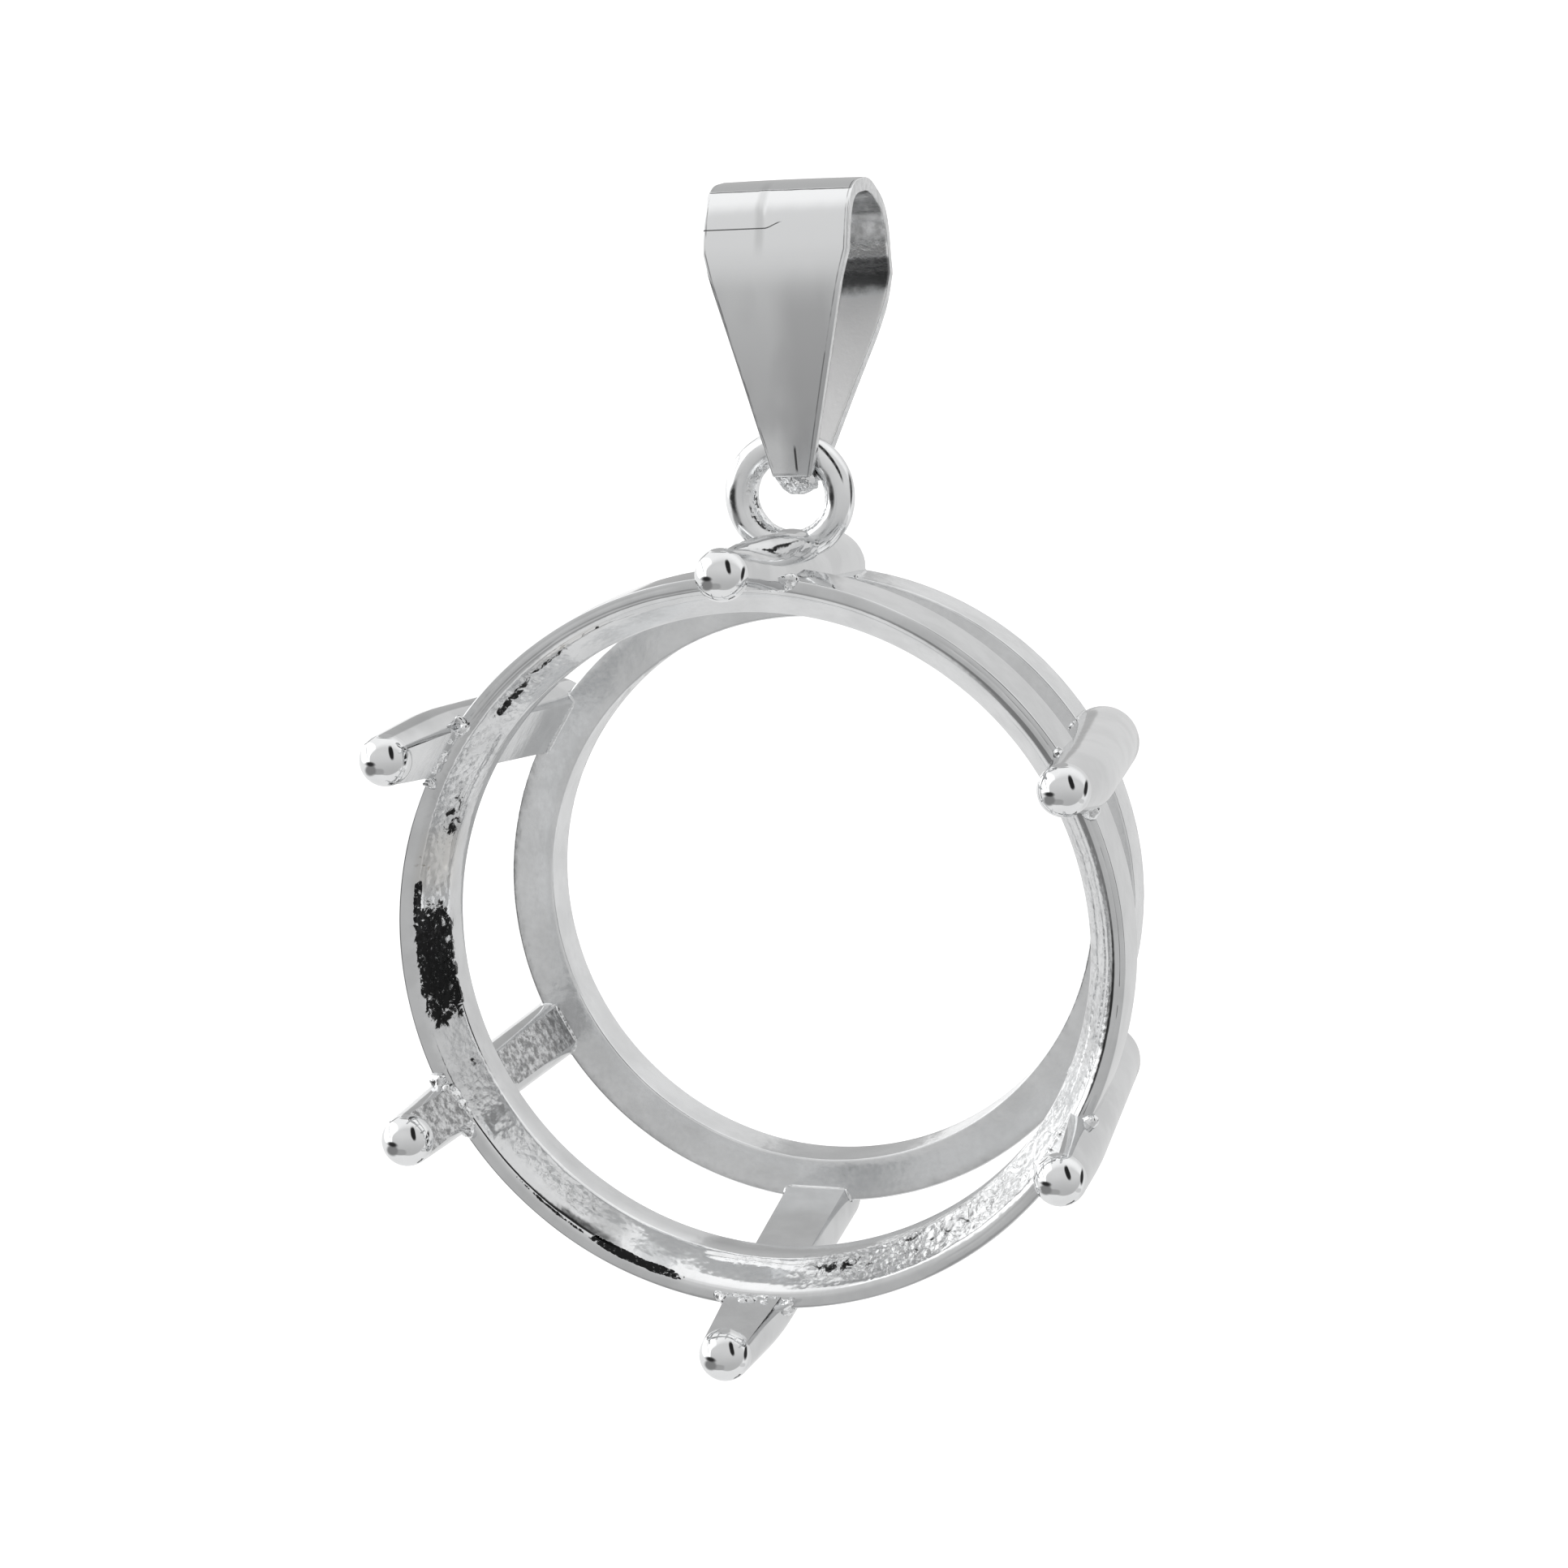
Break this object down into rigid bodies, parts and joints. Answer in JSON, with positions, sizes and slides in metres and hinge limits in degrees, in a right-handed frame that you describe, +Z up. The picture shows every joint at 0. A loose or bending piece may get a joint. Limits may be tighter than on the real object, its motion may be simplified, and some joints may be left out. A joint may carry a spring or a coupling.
{
  "type": "round claw cup setting pendant mount",
  "caption": "Open round cup with ball-tipped claws on two rings, for one large round stone, hanging by a soldered jump ring from a tapered bail.",
  "frame": {"origin": "middle of the bail's round top, where the neck chain passes through", "axes": "+Z up, towards the top of the bail; -Y is the open front of the cup, where the stone goes in; X is across, along the chain"},
  "size_m": [0.02, 0.0117, 0.0312],
  "materials": {
    "plated_silver": "bright polished plating over cast silver, with a rough seat",
    "plated_silver_bail": "bright polished plating on folded strip"
  },
  "bodies": {
    "bail": {"bail": "plated_silver_bail"},
    "cup_setting": {"cup_setting": "plated_silver"}
  },
  "joints": [
    {"name": "cup_swing", "type": "hinge", "parent": "bail", "child": "cup_setting", "pos_m": [0.00019, -0.00105, -0.00454], "axis": [1, 0, 0], "range_deg": [-80, 65]}
  ]
}
